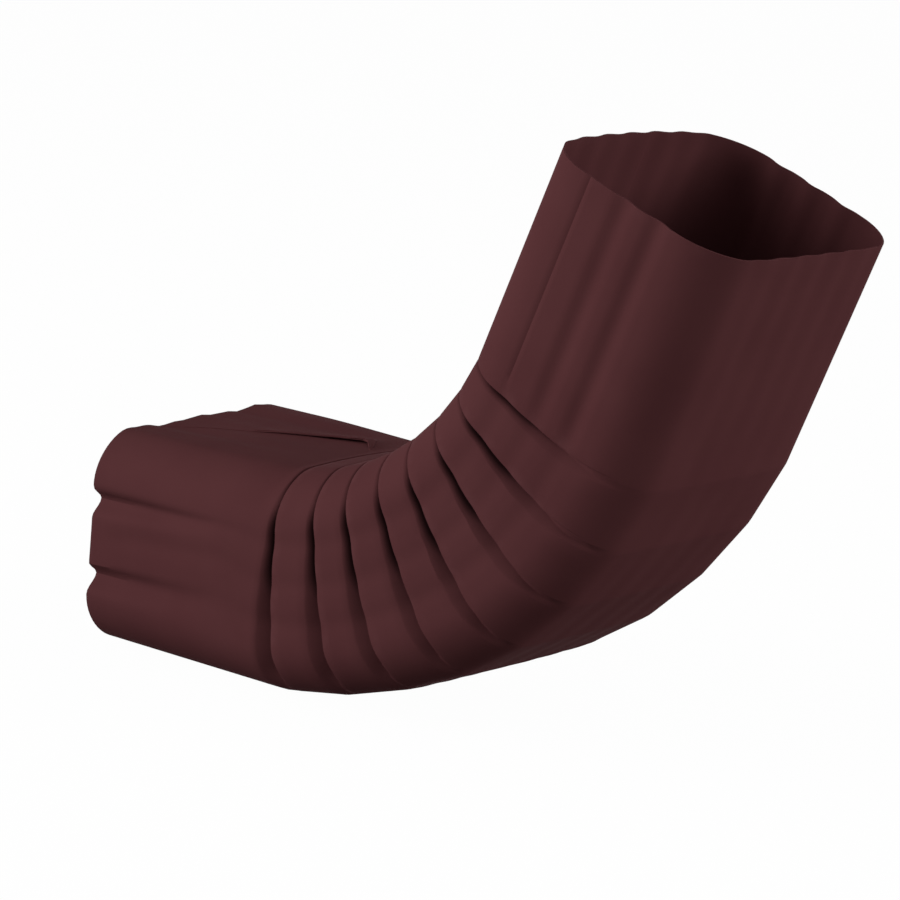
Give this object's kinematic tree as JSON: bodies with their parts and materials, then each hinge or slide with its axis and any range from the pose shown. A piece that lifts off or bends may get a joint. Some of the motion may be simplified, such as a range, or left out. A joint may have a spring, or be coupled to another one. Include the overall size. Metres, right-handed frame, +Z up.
{
  "type": "downspout elbow",
  "caption": "Pleated sheet-metal downspout elbow of rounded rectangular section, corrugated, with a crimped lower mouth and a plain upper mouth.",
  "frame": {"origin": "middle of the crimped lower mouth, in the plane of its rim", "axes": "+X along the lower leg into the bend, Y across the width of the pipe, +Z up towards the side to which the bend turns"},
  "size_m": [0.1921, 0.0826, 0.1552],
  "materials": {
    "paint": "satin"
  },
  "bodies": {
    "root": {"elbow": "paint"}
  },
  "joints": []
}
